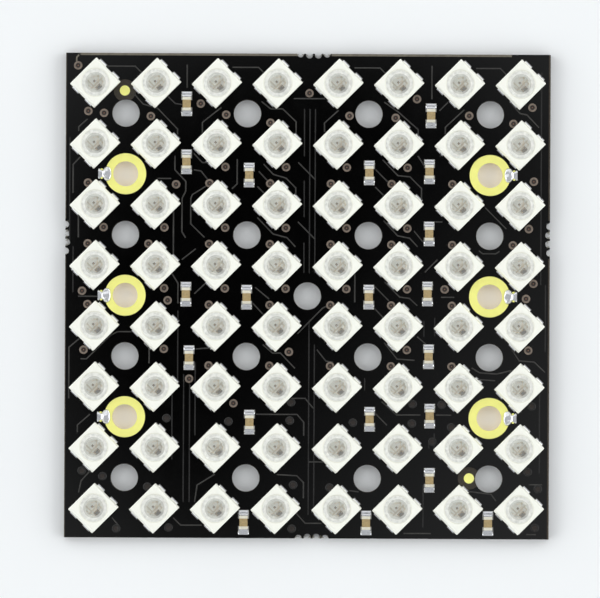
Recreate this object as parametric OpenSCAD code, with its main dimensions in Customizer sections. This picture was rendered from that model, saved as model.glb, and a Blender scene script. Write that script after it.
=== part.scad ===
// Matrix of eight by eight square RGB light-emitting diodes (LEDs) on a square circuit board.
// Every LED holds its own driver chip and stands turned on its corner, so its terminals face up-right and down-left.
// The board lies flat with its lit face up. The origin is under its middle, on the face that it rests on:
// +X runs along a row of LEDs, +Y towards the first row, +Z out of the lit face.
// Places on the board are counted in LED columns and rows from the first LED, so [0.5, 0.5] is the first gap.

/* [LED grid] */
// Distance between the middles of neighbouring LEDs
led_pitch = 8.9; // [8.7:0.1:12]
// Distance from the middles of the outer LEDs to the board's edge
edge_margin = 4.35; // [4.2:0.05:8]

/* [Board] */
// Thickness of the glass-epoxy laminate
laminate_thickness = 1.56; // [0.8:0.02:3]
// Thickness of the black solder mask, and of the bare metal that fills its windows
mask_thickness = 0.04; // [0.03:0.01:0.1]
// Gap between bare metal and the mask around it
mask_gap = 0.05; // [0.03:0.01:0.15]

/* [Mounting holes] */
// Diameter of the plain holes
hole_diameter = 4; // [2.5:0.1:4.6]

/* [Plated holes] */
// Open diameter inside the plating
plated_bore = 3.66; // [2:0.02:4.4]
// Outer diameter of the gold ring on each face
ring_diameter = 6; // [5.2:0.1:6.4]
// Wall of the plated barrel
barrel_wall = 0.05; // [0.03:0.01:0.2]
// How far the tab of each ring reaches past the ring
ring_tab_reach = 0.66; // [0.3:0.02:0.9]
// Width of the tab at its outer end
ring_tab_width = 1.5; // [0.8:0.1:2]
// Width of the tab's neck, just outside the ring
ring_neck_width = 1; // [0.6:0.1:1.4]
// How far outside the ring the neck lies
ring_neck_reach = 0.1; // [0.05:0.05:0.2]
// Share of the tab past its neck over which it widens
ring_flare_share = 0.6; // [0.3:0.1:0.9]
// Width of the solder that lies across the ring
ring_solder_width = 2.3; // [1.6:0.1:3]
// Height of that solder
ring_solder_height = 0.34; // [0.1:0.02:0.8]

/* [Breakaway tabs] */
// Diameter of the drilled bites that are left in the edges
bite_diameter = 1.05; // [0.6:0.05:1.2]
// Distance between neighbouring bites
bite_pitch = 1.3; // [1.25:0.05:1.6]
// How much deeper the two middle bites sit
bite_extra_depth = 0.16; // [0:0.02:0.3]
// How far the tabs of the top and bottom edges sit to the right of the middle
tab_shift_x = 0.8; // [-2:0.1:2]
// How far the tabs of the side edges sit above the middle
tab_shift_y = 8.4; // [7:0.1:10]

/* [LED housing] */
// Width of the housing, along its sides with terminals
led_width = 5; // [4.6:0.1:5.4]
// Length of the housing's top face, from one row of terminals to the other
led_top_length = 5; // [4.6:0.1:5.2]
// Length of the housing's foot, which flares out to the terminals
led_foot_length = 5.36; // [5.3:0.02:5.6]
// Height of the flare's end above the terminals' soles
led_flare_height = 0.9; // [0.75:0.05:1.2]
// Height of the LED above its pads
led_height = 1.6; // [1.4:0.1:2.4]
// Diameter of the reflector cup's mouth
cup_mouth = 4; // [3.6:0.1:4.1]
// Diameter of the cup's floor
cup_floor = 3.3; // [3.1:0.1:3.5]
// Diameter of the bevelled rim around the mouth
cup_rim = 4.4; // [4.2:0.05:4.5]
// Depth of the bevelled rim
cup_rim_depth = 0.08; // [0.04:0.02:0.2]

/* [LED lead frame] */
// Thickness of the leads
lead_thickness = 0.13; // [0.1:0.01:0.16]
// Width of each terminal
terminal_width = 1.3; // [0.9:0.1:1.4]
// Distance of each terminal's middle from the middle of its side
terminal_offset = 1.3; // [1.1:0.05:1.5]
// Height of the cup's floor above the terminals' soles
cup_floor_height = 0.63; // [0.5:0.01:0.7]
// Length of each terminal's sole
sole_length = 0.9; // [0.5:0.05:1.2]
// Gap between neighbouring leads in the cup's floor
lead_gap = 0.2; // [0.1:0.02:0.3]

/* [LED chips] */
// Side of the driver chip
driver_side = 0.85; // [0.6:0.05:0.95]
// Height of the driver chip
driver_height = 0.2; // [0.1:0.02:0.3]
// Side of each light-emitting die
die_side = 0.3; // [0.2:0.02:0.4]
// Height of each die
die_height = 0.12; // [0.08:0.01:0.2]

/* [LED solder] */
// How far the solder and its pad reach past a terminal
led_solder_reach = 0.18; // [0.1:0.02:0.3]
// Height of the solder on a terminal
led_solder_height = 0.4; // [0.2:0.05:0.55]

/* [Capacitors] */
// Length of a capacitor
cap_length = 2; // [1.6:0.1:2.2]
// Width of a capacitor
cap_width = 1.25; // [0.8:0.05:1.4]
// Height of a capacitor
cap_height = 0.85; // [0.5:0.05:1.4]
// Length of each metal end
cap_end_length = 0.42; // [0.25:0.02:0.6]
// Wall of each metal end around the ceramic
cap_end_wall = 0.03; // [0.02:0.01:0.06]
// Overall length of a capacitor's two pads
cap_pads_length = 3.6; // [3.2:0.1:3.8]
// Width of a capacitor's pads
cap_pad_width = 1.55; // [1.5:0.05:1.7]
// Bare board between a capacitor's two pads
cap_pads_gap = 1.1; // [0.8:0.05:1.2]
// Height of the solder against a capacitor's end
cap_solder_height = 0.55; // [0.2:0.05:0.7]

/* [Camera marks] */
// Diameter of the round gold marks that place the board in a machine
mark_diameter = 1.5; // [1:0.1:1.8]
// Diameter of the window in the mask around a mark
mark_window = 3.3; // [2.6:0.1:3.6]

/* [Vias] */
// Outer diameter of the raised collar around each via
via_diameter = 1.25; // [0.8:0.05:1.3]
// Open diameter of the collar
via_bore = 0.55; // [0.3:0.05:0.6]
// Height of the collar above the mask
via_collar_height = 0.03; // [0.02:0.01:0.06]

/* [Hidden] */
$fn = 48;
grid_count = 8;
last = grid_count - 1;
rows = [0 : last];
led_turn = 45;
board_size = last * led_pitch + 2 * edge_margin;
board_top = laminate_thickness + mask_thickness;
cut = 0.5; // how far a cutting shape reaches past the face that it cuts

// Plain holes stand in every second gap and in the middle of the board.
hole_places = concat(
    [for (c = [0 : 2 : last - 1], r = [0 : 2 : last - 1]) [c + 0.5, r + 0.5]],
    [[last / 2, last / 2]]
);
// Plated holes stand in the side columns of gaps, between the plain ones. Their tabs point outwards.
plated_rows = [for (r = [1 : 2 : last - 2]) r + 0.5];
plated_places = concat([for (r = plated_rows) [0.5, r]], [for (r = plated_rows) [last - 0.5, r]]);
function outward(place) = place[0] < last / 2 ? 180 : 0;

// Capacitors: the gap that each one stands in, and its shift from the gap's middle.
capacitor_places = [
    [1.5, 0.5, 0, 1.4], [5.5, 0.5, 0.2, -0.2],
    [1.5, 1.5, 0, 1.8], [2.5, 1.5, 0.3, -0.1], [4.5, 1.5, 0.1, 0.3], [5.5, 1.5, 0, 0.5],
    [5.5, 2.5, 0, 0.3],
    [1.5, 3.5, 0, 0.2], [2.5, 3.5, 0, -0.2], [4.5, 3.5, 0.1, -0.1], [5.5, 3.5, -0.2, 0.4],
    [1.5, 4.5, 0.5, -0.2], [5.5, 4.5, 0, 0.1],
    [2.5, 5.5, 0.5, -0.7], [4.5, 5.5, 0.3, -0.2], [5.5, 5.5, 0.2, 0.3],
    [5.5, 6.5, 0.2, -0.2],
    [2.5, 7.23, -0.3, 0], [4.5, 7.23, -0.15, 0], [6.5, 7.23, -0.1, 0]
];

// Camera marks: the plain hole that each one stands by, its direction from the hole and the gap between them.
camera_marks = [[0.5, 0.5, 93, 0.55], [6.5, 6.5, 178, 0.15]];

// Vias: a left one past the upper-left side of an LED and a right one past the lower-right side of the LED above,
// listed by row of gaps with the columns that have them, and the places of those that stand apart.
right_via_shift = [0.14, 0.38];
left_via_shift = [-0.12, 0.65];
right_via_columns = [
    [], [2, 3, 4, 5], [0, 1, 2, 3, 4, 5, 7], [1, 2, 3, 4, 5], [1, 5, 7], [], [7]
];
left_via_columns = [
    [3, 7], [0, 2, 3, 4, 5, 6], [0, 1, 2, 3, 4, 5, 6, 7], [0, 2, 3, 4, 5, 6], [2, 3, 4, 5, 6], [6], [1, 4]
];
lone_vias = [
    [-0.29, -0.28], [-0.12, 0.47], [0.14, 0.5], [0.91, 0.55], [1.73, 0.34], [2.15, 0.52], [3.52, 0.16],
    [4.18, 0.53], [4.94, 0.56], [5.29, 0.25], [6.15, 0.52], [7.19, 0.38],
    [1.33, 1.67], [7.22, 1.6], [-0.21, 3.43], [1.2, 3.58], [5.76, 3.38], [7.22, 3.28], [7.1, 3.53],
    [-0.18, 4.4], [3.2, 4.42], [1.56, 4.87],
    [2.29, 5.27], [3.24, 5.25], [5.24, 5.27], [5.72, 5.28], [7.2, 5.3],
    [1.19, 5.52], [2.21, 5.57], [3.22, 5.55], [4.26, 5.58], [5.23, 5.59], [5.57, 5.89],
    [-0.2, 6.39], [0.14, 6.48], [3.28, 6.61], [7.31, 6.66],
    [0.37, 7.34], [1.23, 7.32], [3.26, 7.33], [7.26, 7.3]
];
via_places = concat(
    [for (r = [0 : last - 1]) for (c = right_via_columns[r]) [c, r] + right_via_shift],
    [for (r = [0 : last - 1]) for (c = left_via_columns[r]) [c, r] + left_via_shift],
    lone_vias
);

// Heights inside an LED, above the soles of its terminals
plate_bottom = cup_floor_height - lead_thickness;
cup_top = led_height - cup_rim_depth;
foot_x = led_foot_length / 2;
terminal_x = foot_x + lead_thickness;
pad_start_x = foot_x - sole_length;
pad_end_x = terminal_x + led_solder_reach;

// The four leads, each with its terminal's side and the edges of its plate in the cup's floor:
// [side along x, side along y, inner edge along x, inner edge along y]
gap_x_above = -0.6;
gap_x_below = 0.83;
gap_y = -0.2;
plate_reach = 1.9;
leads = [
    [1, 1, gap_x_above + lead_gap / 2, gap_y + lead_gap / 2],
    [-1, 1, gap_x_above - lead_gap / 2, gap_y + lead_gap / 2],
    [1, -1, gap_x_below + lead_gap / 2, gap_y - lead_gap / 2],
    [-1, -1, gap_x_below - lead_gap / 2, gap_y - lead_gap / 2]
];

// Where the chips stand in the cup
driver_place = [-0.15, -0.93];
red_place = [0, 0.27];
green_place = [0.92, 0.38];
blue_place = [-1.12, 0.34];

function row_name(part, r) = str(part, "_row_", r + 1);
function plated_name(part, i) = str(part, "_", i + 1);

// ---- Places ----

function at(place) = [(place[0] - last / 2) * led_pitch, (last / 2 - place[1]) * led_pitch];

module on_board(place, height = board_top) {
    translate([at(place)[0], at(place)[1], height])
        children();
}

module in_row(r) {
    for (c = rows)
        on_board([c, r])
            rotate(led_turn)
                children();
}

module at_every_led() {
    for (r = rows)
        in_row(r)
            children();
}

module at_capacitors(height = board_top) {
    for (p = capacitor_places)
        on_board([p[0], p[1]], height)
            translate([p[2], p[3], 0])
                children();
}

module at_camera_marks(height = 0) {
    for (m = camera_marks)
        on_board([m[0], m[1]], height)
            rotate(m[2])
                translate([hole_diameter / 2 + m[3] + mark_diameter / 2, 0, 0])
                    children();
}

// ---- Board ----

module tab_bites() {
    for (k = [-1.5 : 1 : 1.5])
        translate([k * bite_pitch, abs(k) < 1 ? -bite_extra_depth : 0])
            circle(d = bite_diameter);
}

module board_outline() {
    half = board_size / 2;
    difference() {
        square(board_size, center = true);
        translate([tab_shift_x, half])
            tab_bites();
        translate([tab_shift_x, -half])
            rotate(180)
                tab_bites();
        translate([-half, tab_shift_y])
            rotate(90)
                tab_bites();
        translate([half, tab_shift_y])
            rotate(-90)
                tab_bites();
    }
}

module circuit_board() {
    color([0.16, 0.13, 0.09])
        difference() {
            linear_extrude(height = laminate_thickness)
                difference() {
                    board_outline();
                    for (p = hole_places)
                        translate(at(p))
                            circle(d = hole_diameter);
                    for (p = plated_places)
                        translate(at(p))
                            circle(d = plated_bore + 2 * barrel_wall);
                }
            // Seats for the rings on the underside, so that they end flush with it
            for (p = plated_places)
                on_board(p, -cut)
                    cylinder(d = ring_diameter, h = cut + mask_thickness);
        }
}

module ring_tab_outline(extra = 0) {
    ring_r = ring_diameter / 2;
    neck_x = ring_r + ring_neck_reach;
    flare_x = neck_x + (ring_tab_reach - ring_neck_reach) * ring_flare_share;
    end_x = ring_r + ring_tab_reach + extra;
    neck_y = ring_neck_width / 2 + extra;
    end_y = ring_tab_width / 2 + extra;
    polygon([
        [0, -neck_y], [neck_x, -neck_y], [flare_x, -end_y], [end_x, -end_y],
        [end_x, end_y], [flare_x, end_y], [neck_x, neck_y], [0, neck_y]
    ]);
}

module led_pads_outline(extra = 0) {
    for (side = [-1, 1], y = [-terminal_offset, terminal_offset])
        translate([side * (pad_start_x + pad_end_x) / 2, y])
            square([pad_end_x - pad_start_x + 2 * extra, terminal_width + 2 * extra], center = true);
}

module capacitor_pads_outline(extra = 0) {
    pad_length = (cap_pads_length - cap_pads_gap) / 2;
    for (side = [-1, 1])
        translate([0, side * (cap_pads_gap + pad_length) / 2])
            square([cap_pad_width + 2 * extra, pad_length + 2 * extra], center = true);
}

module mask_windows() {
    for (p = hole_places)
        translate(at(p))
            circle(d = hole_diameter + 2 * mask_gap);
    for (p = plated_places)
        translate(at(p))
            rotate(outward(p)) {
                circle(d = ring_diameter + 2 * mask_gap);
                ring_tab_outline(mask_gap);
            }
    at_camera_marks()
        circle(d = mark_window);
    at_capacitors(0)
        capacitor_pads_outline(mask_gap);
    for (r = rows, c = rows)
        translate(at([c, r]))
            rotate(led_turn)
                led_pads_outline(mask_gap);
}

module solder_mask() {
    color([0.05, 0.05, 0.055])
        translate([0, 0, laminate_thickness])
            linear_extrude(height = mask_thickness)
                difference() {
                    board_outline();
                    mask_windows();
                }
}

module copper_pads() {
    color([0.72, 0.45, 0.2])
        translate([0, 0, laminate_thickness])
            linear_extrude(height = mask_thickness) {
                at_capacitors(0)
                    capacitor_pads_outline();
                for (r = rows, c = rows)
                    translate(at([c, r]))
                        rotate(led_turn)
                            led_pads_outline();
            }
}

module via_collars() {
    color([0.3, 0.27, 0.23])
        for (p = via_places)
            on_board(p)
                difference() {
                    cylinder(d = via_diameter, h = via_collar_height);
                    translate([0, 0, -cut])
                        cylinder(d = via_bore, h = via_collar_height + 2 * cut);
                }
}

module camera_marks() {
    color([0.95, 0.8, 0.35])
        at_camera_marks(laminate_thickness)
            cylinder(d = mark_diameter, h = mask_thickness);
}

// A plated hole: a barrel through the board with a ring on both faces and a tab on the upper one
module plated_hole(place) {
    bore_r = plated_bore / 2;
    ring_r = ring_diameter / 2;
    color([0.95, 0.8, 0.35])
        on_board(place, 0)
            difference() {
                union() {
                    cylinder(r = bore_r + barrel_wall, h = board_top);
                    cylinder(r = ring_r, h = mask_thickness);
                    translate([0, 0, laminate_thickness])
                        cylinder(r = ring_r, h = mask_thickness);
                    translate([0, 0, laminate_thickness])
                        linear_extrude(height = mask_thickness)
                            rotate(outward(place))
                                ring_tab_outline();
                }
                translate([0, 0, -cut])
                    cylinder(r = bore_r, h = board_top + 2 * cut);
            }
}

// The part of the tab that its solder covers, from the middle of the ring's band outwards
module solder_tail_outline() {
    difference() {
        ring_tab_outline();
        circle(r = (plated_bore + ring_diameter) / 4);
    }
}

// The solder of a ring: a low mound across the ring's outer side, and a flat tail on the tab
module terminal_solder(place) {
    ring_r = ring_diameter / 2;
    bore_r = plated_bore / 2;
    mound_r = ring_solder_width / 2;
    mound_x = bore_r + mound_r;
    sphere_r = (mound_r * mound_r + ring_solder_height * ring_solder_height) / (2 * ring_solder_height);
    color([0.8, 0.82, 0.84])
        on_board(place)
            rotate(outward(place))
                intersection() {
                    union() {
                        translate([mound_x, 0, ring_solder_height - sphere_r])
                            sphere(r = sphere_r);
                        linear_extrude(height = ring_solder_height / 2)
                            solder_tail_outline();
                    }
                    linear_extrude(height = ring_solder_height)
                        union() {
                            intersection() {
                                circle(r = ring_r);
                                translate([mound_x, 0])
                                    circle(r = mound_r);
                            }
                            solder_tail_outline();
                        }
                }
}

// ---- Capacitors ----

module capacitor_bodies() {
    core = [cap_width, cap_length, cap_height] - [2, 2, 2] * cap_end_wall;
    color([0.72, 0.6, 0.42])
        at_capacitors()
            translate([0, 0, cap_height / 2])
                cube(core, center = true);
}

module capacitor_ends() {
    core = [cap_width, cap_length, cap_height] - [2, 2, 2] * cap_end_wall;
    color([0.85, 0.83, 0.76])
        at_capacitors()
            translate([0, 0, cap_height / 2])
                difference() {
                    cube([cap_width, cap_length, cap_height], center = true);
                    cube(core, center = true);
                    cube([2 * cap_width, cap_length - 2 * cap_end_length, 2 * cap_height], center = true);
                }
}

// A concave fillet of solder that climbs from the end of a pad to the face of an end, along +x
module solder_fillet(reach, height, width) {
    rotate([90, 0, 0])
        linear_extrude(height = width, center = true)
            polygon([[0, 0], [reach, 0], [reach * 0.5, height * 0.2], [reach * 0.16, height * 0.6], [0, height]]);
}

module capacitor_solder() {
    color([0.8, 0.82, 0.84])
        at_capacitors()
            for (side = [-90, 90])
                rotate(side)
                    translate([cap_length / 2, 0, 0])
                        solder_fillet((cap_pads_length - cap_length) / 2, cap_solder_height, cap_width);
}

// ---- LEDs, each drawn with its terminals along x and its soles at height 0 ----

module lead(side_x, side_y, edge_x, edge_y) {
    plate_end = side_x * plate_reach;
    strip_start = terminal_offset - terminal_width / 2;
    plate_y = side_y * (strip_start + terminal_width);
    plate = [abs(plate_end - edge_x), abs(plate_y - edge_y), lead_thickness];
    translate([min(edge_x, plate_end), min(edge_y, plate_y), plate_bottom])
        cube(plate);
    // The strip that leaves the housing, turns down its side and ends under it
    translate([0, side_y * terminal_offset, 0])
        mirror([side_x < 0 ? 1 : 0, 0, 0])
            rotate([90, 0, 0])
                linear_extrude(height = terminal_width, center = true)
                    polygon([
                        [plate_reach, cup_floor_height], [terminal_x, cup_floor_height], [terminal_x, 0],
                        [pad_start_x, 0], [pad_start_x, lead_thickness], [foot_x, lead_thickness],
                        [foot_x, plate_bottom], [plate_reach, plate_bottom]
                    ]);
}

module led_lead_frame() {
    for (l = leads)
        lead(l[0], l[1], l[2], l[3]);
}

module led_housing() {
    top_x = led_top_length / 2;
    difference() {
        rotate([90, 0, 0])
            linear_extrude(height = led_width, center = true)
                polygon([
                    [-foot_x, lead_thickness], [foot_x, lead_thickness], [foot_x, led_flare_height],
                    [top_x, led_height], [-top_x, led_height], [-foot_x, led_flare_height]
                ]);
        translate([0, 0, cup_floor_height])
            cylinder(d1 = cup_floor, d2 = cup_mouth, h = cup_top - cup_floor_height);
        translate([0, 0, cup_top])
            cylinder(d1 = cup_mouth, d2 = cup_rim, h = cup_rim_depth);
        led_lead_frame();
    }
}

module chip(place, side, height) {
    translate([place[0] - side / 2, place[1] - side / 2, cup_floor_height])
        cube([side, side, height]);
}

module led_chips() {
    chip(driver_place, driver_side, driver_height);
    for (p = [red_place, green_place, blue_place])
        chip(p, die_side, die_height);
}

module led_encapsulant() {
    difference() {
        translate([0, 0, cup_floor_height])
            cylinder(d1 = cup_floor, d2 = cup_mouth, h = cup_top - cup_floor_height);
        led_chips();
    }
}

module led_solder_joints() {
    for (side = [0, 180], y = [-terminal_offset, terminal_offset])
        rotate(side)
            translate([terminal_x, y, 0])
                solder_fillet(led_solder_reach, led_solder_height, terminal_width);
}

module led_housings(r) {
    color([0.95, 0.94, 0.88])
        in_row(r)
            led_housing();
}

module led_leads(r) {
    color([0.83, 0.83, 0.8])
        in_row(r)
            led_lead_frame();
}

module led_encapsulants(r) {
    color([0.93, 0.95, 0.93, 0.4])
        in_row(r)
            led_encapsulant();
}

module led_driver_chips() {
    color([0.3, 0.27, 0.18])
        at_every_led()
            chip(driver_place, driver_side, driver_height);
}

module led_red_dies() {
    color([0.35, 0.12, 0.1])
        at_every_led()
            chip(red_place, die_side, die_height);
}

module led_green_dies() {
    color([0.55, 0.65, 0.5])
        at_every_led()
            chip(green_place, die_side, die_height);
}

module led_blue_dies() {
    color([0.5, 0.58, 0.72])
        at_every_led()
            chip(blue_place, die_side, die_height);
}

module led_solder() {
    color([0.8, 0.82, 0.84])
        at_every_led()
            led_solder_joints();
}

circuit_board();
solder_mask();
copper_pads();
via_collars();
camera_marks();
for (i = [0 : len(plated_places) - 1]) {
    plated_hole(plated_places[i]);
    terminal_solder(plated_places[i]);
}
capacitor_bodies();
capacitor_ends();
capacitor_solder();
for (r = rows) {
    led_housings(r);
    led_leads(r);
    led_encapsulants(r);
}
led_driver_chips();
led_red_dies();
led_green_dies();
led_blue_dies();
led_solder();
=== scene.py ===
"""Looks of the LED dot matrix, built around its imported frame.

Shapes are made in millimetres and become metres in make_piece. The board lies flat, +Z out of its lit face.
"""
import math
import random

import bmesh
import bpy
import numpy as np
from mathutils import Matrix, Vector


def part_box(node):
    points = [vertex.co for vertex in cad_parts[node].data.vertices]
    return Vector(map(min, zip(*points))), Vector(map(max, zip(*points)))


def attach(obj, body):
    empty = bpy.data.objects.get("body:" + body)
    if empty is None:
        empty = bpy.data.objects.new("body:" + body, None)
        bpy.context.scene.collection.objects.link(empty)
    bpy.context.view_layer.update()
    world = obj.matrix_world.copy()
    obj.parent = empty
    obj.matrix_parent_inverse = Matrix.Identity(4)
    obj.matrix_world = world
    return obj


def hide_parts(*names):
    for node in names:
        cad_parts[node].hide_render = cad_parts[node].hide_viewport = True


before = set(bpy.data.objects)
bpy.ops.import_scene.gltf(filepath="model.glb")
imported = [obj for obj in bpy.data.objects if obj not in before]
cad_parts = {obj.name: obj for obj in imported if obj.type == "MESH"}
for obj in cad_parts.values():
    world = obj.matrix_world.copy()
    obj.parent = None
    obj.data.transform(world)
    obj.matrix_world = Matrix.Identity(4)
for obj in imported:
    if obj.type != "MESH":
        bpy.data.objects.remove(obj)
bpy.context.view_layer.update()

MM = 0.001
GRID_COUNT = 8
GRID_MIDDLE = (GRID_COUNT - 1) / 2
LED_ROWS = range(1, GRID_COUNT + 1)


# ---- Places, read from the frame ----

def box_mm(node):
    """Lowest and highest corner of a CAD node, in millimetres."""
    low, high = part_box(node)
    return low / MM, high / MM


def middle(node):
    low, high = box_mm(node)
    return (low + high) / 2


def solid_boxes(node):
    """Boxes of a node's separate solids, in millimetres, each as a low and a high corner."""
    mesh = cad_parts[node].data
    points = np.array([v.co for v in mesh.vertices]) / MM
    _, corner = np.unique(np.round(points, 4), axis=0, return_inverse=True)
    corner = corner.ravel()
    parent = list(range(corner.max() + 1))

    def root(i):
        while parent[i] != i:
            parent[i] = parent[parent[i]]
            i = parent[i]
        return i

    for face in mesh.polygons:
        first = root(corner[face.vertices[0]])
        for v in face.vertices[1:]:
            parent[root(corner[v])] = first
    groups = {}
    for index, c in enumerate(corner):
        groups.setdefault(root(c), []).append(index)
    boxes = [(points[g].min(0), points[g].max(0)) for g in groups.values()]
    return sorted(boxes, key=lambda b: (-round(b[0][1], 2), round(b[0][0], 2)))


BOARD_TOP = box_mm("solder_mask")[1].z
HALF_BOARD = box_mm("circuit_board")[1].x
PITCH = (middle("led_housings_row_1").y - middle(f"led_housings_row_{GRID_COUNT}").y) / (GRID_COUNT - 1)


def at(column, row):
    """Place of an LED column and row on the board, counted from the first LED."""
    return Vector(((column - GRID_MIDDLE) * PITCH, (GRID_MIDDLE - row) * PITCH))


def stand(place, turn=0.0):
    """Matrix that stands a shape on the board at a place, turned about +Z by an angle in degrees."""
    return Matrix.Translation((place[0], place[1], BOARD_TOP)) @ Matrix.Rotation(math.radians(turn), 4, "Z")


LED_TURN = 45


def led_places(row):
    return [stand(at(column, row - 1), LED_TURN) for column in range(GRID_COUNT)]


# ---- Shapes ----

class Shape:
    """Points in millimetres and the faces between them, each face with the number of its finish."""

    def __init__(self):
        self.points = []
        self.faces = []
        self.finishes = []

    def ring(self, points):
        start = len(self.points)
        self.points.extend(tuple(p) for p in points)
        return list(range(start, len(self.points)))

    def face(self, corners, finish=0):
        self.faces.append(tuple(corners))
        self.finishes.append(finish)

    def bands(self, rings, finish=0):
        """Faces between closed rings of as many points each."""
        for one, other in zip(rings, rings[1:]):
            for k in range(len(one)):
                after = (k + 1) % len(one)
                self.face((one[k], one[after], other[after], other[k]), finish)

    def tube(self, rings, finish=0):
        """Bands between the rings, with both ends closed."""
        self.bands(rings, finish)
        self.face(rings[0], finish)
        self.face(rings[-1], finish)

    def add(self, other, place=Matrix.Identity(4)):
        start = len(self.points)
        self.points.extend(tuple(place @ Vector(p)) for p in other.points)
        self.faces.extend(tuple(i + start for i in f) for f in other.faces)
        self.finishes.extend(other.finishes)


def make_piece(name, shape, places, finishes, replaced=(), sharp=35):
    """One piece made of a copy of the shape at each place. Edges sharper than the angle stay sharp."""
    base = np.array(shape.points)
    points = []
    faces = []
    for copy, place in enumerate(places):
        turn = np.array(place)
        points.append(base @ turn[:3, :3].T + turn[:3, 3])
        faces.extend(tuple(i + copy * len(base) for i in f) for f in shape.faces)
    mesh = bpy.data.meshes.new(name)
    mesh.from_pydata(np.concatenate(points) * MM, [], faces)
    for finish in finishes:
        mesh.materials.append(finish)
    mesh.polygons.foreach_set("material_index", shape.finishes * len(places))
    work = bmesh.new()
    work.from_mesh(mesh)
    bmesh.ops.recalc_face_normals(work, faces=work.faces)
    work.to_mesh(mesh)
    work.free()
    mesh.polygons.foreach_set("use_smooth", [True] * len(mesh.polygons))
    mesh.set_sharp_from_angle(angle=math.radians(sharp))
    piece = bpy.data.objects.new(name, mesh)
    bpy.context.scene.collection.objects.link(piece)
    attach(piece, "root")
    if replaced:
        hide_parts(*replaced)
    return piece


def rounded_outline(half_x, half_y, radius, corner_steps=3, side_steps=12):
    """Points round a rectangle with round corners, as many on each side."""
    points = []
    for quarter in range(4):
        side_x = 1 if quarter in (0, 3) else -1
        side_y = 1 if quarter in (0, 1) else -1
        centre = Vector((side_x * (half_x - radius), side_y * (half_y - radius)))
        for k in range(corner_steps + 1):
            angle = math.radians(90 * (quarter + k / corner_steps))
            points.append(centre + radius * Vector((math.cos(angle), math.sin(angle))))
        start = points[-1]
        onward = math.radians(90 * quarter + 180)
        run = 2 * ((half_x if quarter % 2 == 0 else half_y) - radius)
        step = Vector((math.cos(onward), math.sin(onward))) * run / side_steps
        points.extend(start + step * k for k in range(1, side_steps))
    return points


def level(points, z):
    return [(p[0], p[1], z) for p in points]


def on_circle(outline, radius):
    """The outline's points moved along their own directions onto a circle."""
    return [radius * p.normalized() for p in outline]


def lathe(profile, steps, start_closed=False, finish=0):
    """A shape turned about Z from a list of [radius, height]."""
    shape = Shape()
    turns = [2 * math.pi * k / steps for k in range(steps)]
    rings = [shape.ring([(r * math.cos(a), r * math.sin(a), z) for a in turns]) for r, z in profile]
    shape.bands(rings, finish)
    if start_closed:
        shape.face(rings[0], finish)
    return shape


def swept(path, section, finish=0):
    """A section of [across, out] carried along a path of [point, out direction, across direction]."""
    shape = Shape()
    rings = [shape.ring([p + out * s[1] + across * s[0] for s in section]) for p, out, across in path]
    shape.tube(rings, finish)
    return shape


def wire(points, radius, sides=6):
    """A round wire through the points."""
    shape = Shape()
    rings = []
    up = Vector((0, 0, 1))
    for k, p in enumerate(points):
        ahead = points[min(k + 1, len(points) - 1)] - points[max(k - 1, 0)]
        across = ahead.cross(up)
        across = across.normalized() if across.length > 1e-6 else Vector((1, 0, 0))
        out = across.cross(ahead).normalized()
        turns = [2 * math.pi * s / sides for s in range(sides)]
        rings.append(shape.ring([p + radius * (math.cos(a) * across + math.sin(a) * out) for a in turns]))
    shape.tube(rings)
    return shape


# ---- Finishes ----

def new_finish(name, color, roughness, metallic=0.0, specular=0.5):
    """A material and its Principled shader."""
    material = bpy.data.materials.new(name)
    material.use_nodes = True
    shader = material.node_tree.nodes["Principled BSDF"]
    shader.inputs["Base Color"].default_value = (*color, 1)
    shader.inputs["Roughness"].default_value = roughness
    shader.inputs["Metallic"].default_value = metallic
    shader.inputs["Specular IOR Level"].default_value = specular
    return material, shader


def node(material, kind, **inputs):
    made = material.node_tree.nodes.new(kind)
    for name, value in inputs.items():
        made.inputs[name.replace("_", " ")].default_value = value
    return made


def join(material, source, target):
    material.node_tree.links.new(source, target)


def grain(material, size, detail=3.0):
    """Noise with marks of a size in millimetres, fixed to the object."""
    coordinates = material.node_tree.nodes.new("ShaderNodeTexCoord")
    mapping = node(material, "ShaderNodeMapping", Scale=[1 / (size * MM)] * 3)
    noise = node(material, "ShaderNodeTexNoise", Scale=1.0, Detail=detail, Roughness=0.55)
    join(material, coordinates.outputs["Object"], mapping.inputs["Vector"])
    join(material, mapping.outputs["Vector"], noise.inputs["Vector"])
    return noise.outputs["Fac"]


def tones(material, factor, stops):
    """A colour ramp from a list of (position, colour)."""
    ramp = material.node_tree.nodes.new("ShaderNodeValToRGB")
    elements = ramp.color_ramp.elements
    while len(elements) < len(stops):
        elements.new(0.5)
    for element, (position, color) in zip(elements, stops):
        element.position = position
        element.color = (*color, 1)
    join(material, factor, ramp.inputs["Fac"])
    return ramp.outputs["Color"]


def shade(color, factor):
    return tuple(c * factor for c in color)


def mottle(material, shader, color, size, spread):
    """Colour that varies by a share round the given one."""
    noise = grain(material, size)
    stops = [(0.3, shade(color, 1 - spread)), (0.7, shade(color, 1 + spread))]
    join(material, tones(material, noise, stops), shader.inputs["Base Color"])


def roughen(material, shader, size, low, high):
    """Roughness that varies between two values."""
    spread = node(material, "ShaderNodeMapRange", From_Min=0.3, From_Max=0.7, To_Min=low, To_Max=high)
    join(material, grain(material, size), spread.inputs["Value"])
    join(material, spread.outputs["Result"], shader.inputs["Roughness"])


def pit(material, shader, size, depth):
    """Bumps of a size and depth in millimetres."""
    bump = node(material, "ShaderNodeBump", Strength=1.0, Distance=depth * MM)
    join(material, grain(material, size, 4.0), bump.inputs["Height"])
    join(material, bump.outputs["Normal"], shader.inputs["Normal"])


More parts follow.
